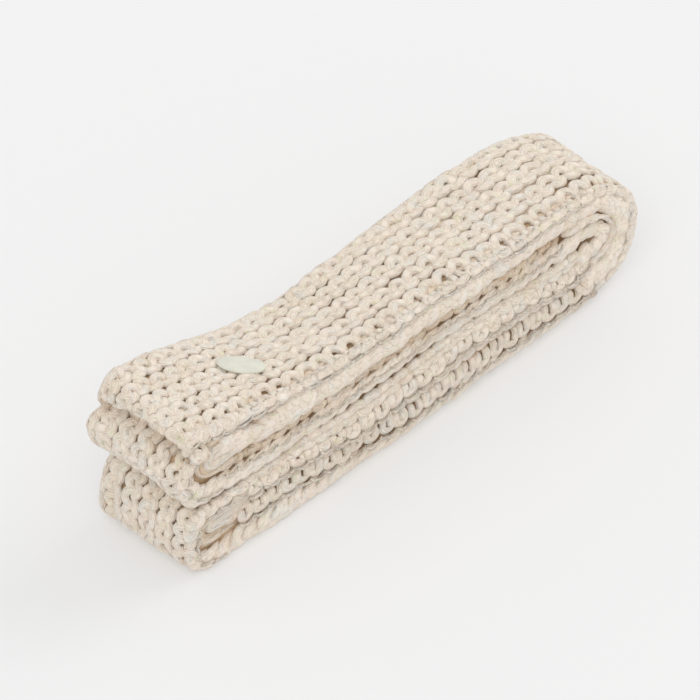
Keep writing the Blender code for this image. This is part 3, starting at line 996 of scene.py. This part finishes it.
def tag_material():
    """Close plain-weave tape, off-white with a faint green cast."""
    material, tree, shader = new_material("tag_weave", Roughness=0.6)
    place = object_place(tree)
    warp, weft = (
        add_node(tree, "TexWave", Vector=place, Scale=900.0, Distortion=0.6, bands_direction=way)
        for way in ("X", "Y")
    )
    woven = multiplied(tree, warp.outputs["Color"], weft.outputs["Color"])
    tape = ramp(tree, woven, (0.0, (0.70, 0.69, 0.58)), (0.6, (0.81, 0.80, 0.70)))
    cloud = noise(tree, place, 130.0, 2.0)
    worn = ramp(tree, cloud, (0.40, (0.93, 0.94, 0.95)), (0.58, PLAIN))
    normal = bump(tree, woven, 0.15, 0.0002)
    set_values(tree, shader, **{"Base Color": multiplied(tree, tape, worn), "Normal": normal})
    return material


# ---- The pieces ----


def lay_ridges(yarn, skin, name):
    """The garter ridges over face 1 of a stretch, and the half ridge next to the edge loops."""
    for offset, direction in RIDGE_LOOPS:
        s = skin.strip.stitches(name, offset)
        valley = skin.edge_place(s) + EDGE_BAND
        for ridge in range(RIDGE_COUNT):
            w = valley + (ridge + 0.5) * RIDGE
            keep = w < skin.width_at(s) - RIDGE_MARGIN
            yarn.lay(skin, ridge_loop(direction), s[keep], w[keep])
            if direction > 0:
                lay_core(yarn, skin, s[keep], w[keep])
        if direction > 0:
            yarn.lay(skin, ridge_loop(direction), s, valley - HALF_RIDGE)
            gaps = HALF_RIDGE_GAPS[0] + HALF_RIDGE_GAPS[1] * skin.strip.openness(s)
            lay_core(yarn, skin, s, valley - HALF_RIDGE_CORE, gaps)
            for distance, height in END_STRANDS:
                yarn.lay(skin, core_strand(), s, skin.width_at(s) - distance, n=height)


def lay_core(yarn, skin, s, w, more_gaps=0.0):
    """The strand under a ridge, with a gap here and there that leaves a loop open."""
    filled = rng.random(len(s)) > CORE_GAPS + more_gaps
    yarn.lay(skin, core_strand(), s[filled], w[filled])


def lay_valleys(yarn, skin, name):
    """Strands low in the valleys, the more of them the further right, where the knit lies closer."""
    s = skin.strip.stitches(name)
    closeness = np.clip((skin.strip.x_at(s) - CLOSE_START) / CLOSE_REACH, 0, 1)
    for ridge in range(RIDGE_COUNT - 2):
        w = skin.edge_place(s) + EDGE_BAND + ridge * RIDGE
        chosen = rng.random(len(s)) < VALLEY_SHARE * closeness
        yarn.lay(skin, core_strand(), s[chosen], w[chosen], n=VALLEY_HEIGHT)


def lay_edge_loops(yarn, skin, name, height, n=0.0, raised=False, hung=True, skip_end=0.0, **shape):
    """Edge loops, and the garland hung under them. Raised ones start above the slit."""
    s = skin.strip.stitches(name, 0.5, skip_end=skip_end)
    w = skin.edge_place(s) if raised else np.zeros(len(s))
    opening = np.floor(2.0 * rng.random(len(s)) + 2.0 * skin.strip.openness(s))
    for choice, change in enumerate(OPENINGS):
        loop = edge_loop(height, **shape)
        loop["s"] = loop["s"] * change
        chosen = opening == choice
        yarn.lay(skin, loop, s[chosen], w[chosen], n=n)
    if hung:
        yarn.lay(skin, garland(), s, w - GARLAND_DROP)


def lay_near_ridge(yarn, skin, name, w):
    """One garter ridge on a near side, above its edge loops."""
    for offset, direction in RIDGE_LOOPS:
        s = skin.strip.stitches(name, offset)
        yarn.lay(skin, ridge_loop(direction), s, w, n=NEAR_RIDGE_HEIGHT, size=NEAR_RIDGE_SIZE)


def lay_chain(yarn, skin, name, n=0.0, taller=0.0, early=0.0, **shape):
    """The chain of flat links that closes an edge; taller adds to its band, away from the slit, and
    early starts it before its stretch."""
    s = skin.strip.stitches(name, skip_start=-early)
    band = skin.slit_height(s) + taller
    yarn.lay(skin, chain_link(**shape), s, 0.0, n=n, size=band)


def lay_curl(yarn, centre, y, reach, radii, depth, facing):
    """Strands that turn round a fold's inner line at one side, with both ends running to x = reach."""
    x, z = centre
    legs = np.linspace(1, 0, LEG_STEPS)
    for radius in radii:
        line = [(x + leg * (reach - x), z + radius) for leg in legs]
        line += arc(centre, radius, 90, 270, BEND_STEPS)[1:-1]
        line += [(x + leg * (reach - x), z - radius) for leg in legs[::-1]]
        points = np.array([(along, y, up) for along, up in line])
        yarn.lay_line(points, CURL_WIDE, CURL_THICK, depth, facing)


def lay_notch(yarn):
    """Rows of slanted stitches, each lapping over the next, deep in the notch under the lip."""
    slant = np.array(NOTCH_SLANT)
    for lean, (near_end, far_end) in zip((1, -1, 1), NOTCH_ROWS):
        places = np.linspace(near_end, far_end, NOTCH_STITCHES)
        for start, end in zip(places[:-2], places[2:]):
            points = np.linspace(start - lean * slant, end + lean * slant, NOTCH_STEPS)
            yarn.lay_line(points, NOTCH_WIDE, NOTCH_THICK, NOTCH_DEPTH, LEFT)


def lay_far_rolls(yarn, skin):
    """The ridges round the far sides of the inner thicknesses."""
    for name in ("third", "inner_turn", "second"):
        for offset, direction in RIDGE_LOOPS:
            s = skin.strip.stitches(name, offset)
            for distance in FAR_ROLLS:
                yarn.lay(skin, ridge_loop(direction), s, skin.width_at(s) - distance)


def dress(skin_1, skin_2):
    """The yarn of each piece."""
    top = Yarn()
    lay_ridges(top, skin_1, "top")
    lay_valleys(top, skin_1, "top")
    lay_edge_loops(top, skin_1, "top", EDGE_LOOP_HEIGHT, leg=0.56, taper=1.2)
    link = {"lean": 0.06, "middle": 0.54, "half": 0.41, "thick": 3.8}
    lay_chain(top, skin_2, "top", n=1.2, taller=7.0, early=22.0, **link)

    turn = Yarn()
    lay_ridges(turn, skin_1, "turn")
    lay_edge_loops(turn, skin_1, "turn", EDGE_LOOP_HEIGHT, hung=False, foot_w=0.0)
    lay_chain(turn, skin_2, "turn", n=0.3, taller=3.0, lean=0.06, middle=0.50, half=0.45, thick=3.2)

    base = Yarn()
    lay_ridges(base, skin_1, "base")
    lay_chain(base, skin_1, "base")
    loops = {"half_s": 3.9, "leg": 0.9, "wide": 3.25, "thick": 1.3, "taper": 0.4}
    lay_edge_loops(base, skin_2, "base", 6.0, skip_end=12.0, **loops)
    lay_near_ridge(base, skin_2, "base", 16.0)

    folds = {name: Yarn() for name in CURLS}
    for name, fold in folds.items():
        for curl in CURLS[name]:
            lay_curl(fold, *curl)
        lay_ridges(fold, skin_1, name)
        lay_edge_loops(fold, skin_1, name, EDGE_LOOP_HEIGHT, raised=True)
        lay_chain(fold, skin_1, name)
        if name == "upper_fold":
            lay_notch(fold)

    inner = Yarn()
    lay_edge_loops(inner, skin_1, "third", 5.0, half_s=3.3, leg=1.0, wide=3.4, thick=1.3)
    lay_near_ridge(inner, skin_1, "third", 12.8)
    lay_chain(inner, skin_1, "inner_turn")
    lay_chain(inner, skin_2, "inner_turn")
    lay_chain(inner, skin_1, "second")
    lay_edge_loops(inner, skin_2, "second", 2.0, n=-3.3, half_s=3.7, leg=0.9, wide=3.2, thick=1.2)
    # Laid deep under the loops, where painted shade colours it dark brown.
    lay_chain(inner, skin_2, "second", n=-6.0, taller=3.0)
    lay_far_rolls(inner, skin_1)
    return {"top": top, "turn": turn, "base": base, **folds, "inner": inner}


def tag_piece(material):
    """The small blank oval tag: thin, a little domed, with a rolled rim."""
    turn = math.radians(TAG_TURN)
    points = []
    top, *rings, bottom = TAG_PROFILE
    for share, height in rings:
        for k in range(TAG_SIDES):
            angle = 2 * math.pi * k / TAG_SIDES
            along = TAG_LENGTH / 2 * share * math.cos(angle)
            across = TAG_WIDTH / 2 * share * math.sin(angle)
            x = TAG_X + along * math.cos(turn) - across * math.sin(turn)
            y = TAG_Y + along * math.sin(turn) + across * math.cos(turn)
            points.append((x, y, level("a", x, y) + height))
    for _, height in (top, bottom):
        points.append((TAG_X, TAG_Y, level("a", TAG_X, TAG_Y) + height))
    faces = tube_faces(len(rings), TAG_SIDES)[:-2]
    count = len(rings) * TAG_SIDES
    for k in range(TAG_SIDES):
        m = (k + 1) % TAG_SIDES
        faces.append((count, k, m))
        faces.append((count + 1, count - TAG_SIDES + m, count - TAG_SIDES + k))
    return build_mesh("tag_oval", points, faces, material)


# ---- The stage ----


def studio():
    """A pale floor that glows faintly, a white sky and two broad suns."""
    floor_mesh = bpy.data.meshes.new("floor")
    corners = [(x * FLOOR_REACH, y * FLOOR_REACH, 0) for x, y in ((-1, -1), (1, -1), (1, 1), (-1, 1))]
    floor_mesh.from_pydata(corners, [], [(0, 1, 2, 3)])
    finish = {"Base Color": FLOOR_GREY, "Emission Color": WHITE, "Emission Strength": FLOOR_GLOW}
    floor_mesh.materials.append(new_material("floor", Roughness=0.9, **finish)[0])
    add_object("floor", floor_mesh)

    scene = bpy.context.scene
    scene.world = bpy.data.worlds.new("studio")
    scene.world.use_nodes = True
    sky = scene.world.node_tree.nodes["Background"]
    sky.inputs["Color"].default_value = WHITE
    sky.inputs["Strength"].default_value = SKY_STRENGTH
    scene.view_settings.view_transform = "Standard"
    for name, place in SUNS.items():
        light = bpy.data.lights.new(name, "SUN")
        light.angle, light.energy = math.radians(SUN_SPREAD), SUN_POWER
        lamp = add_object(name, light)
        lamp.location = place
        lamp.rotation_euler = (-Vector(place)).to_track_quat("-Z", "Y").to_euler()


def camera():
    lens = bpy.data.cameras.new("camera")
    lens.type, lens.ortho_scale, lens.clip_end = "ORTHO", VIEW_SPAN, VIEW_LIMIT
    turn = Euler((math.radians(90 - VIEW_ELEVATION), 0.0, math.radians(VIEW_AZIMUTH)))
    eye = add_object("camera", lens)
    eye.location = Vector((*ORIGIN, 0.0)) + turn.to_matrix() @ Vector((*VIEW_OFFSET, VIEW_DISTANCE))
    eye.rotation_euler = turn
    bpy.context.scene.camera = eye


ORIGIN = table_origin()
camera()
studio()
strip = Strip()
skin_1 = Skin(strip, 1, skin_1_outline, reach=150.0)
skin_2 = Skin(strip, 2, skin_2_outline, reach=60.0)
knit, shade = yarn_material(), backing_shade_material()
yarns = {name: yarn.build(name + "_yarn", knit) for name, yarn in dress(skin_1, skin_2).items()}
for name, (node, stretches, insets, rests_on) in PIECES.items():
    cloth = backing(name + "_cloth", strip, stretches, insets, shade)
    for piece in (cloth, yarns[name]):
        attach(piece, "root")
        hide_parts(node)
    flat = (STRIP_WIDTH * MM, strip.middle_length(*strip.range_of(*stretches)) * MM)
tag = tag_piece(tag_material())
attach(tag, "root")
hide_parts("tag")
flat = (TAG_WIDTH * MM, TAG_LENGTH * MM)
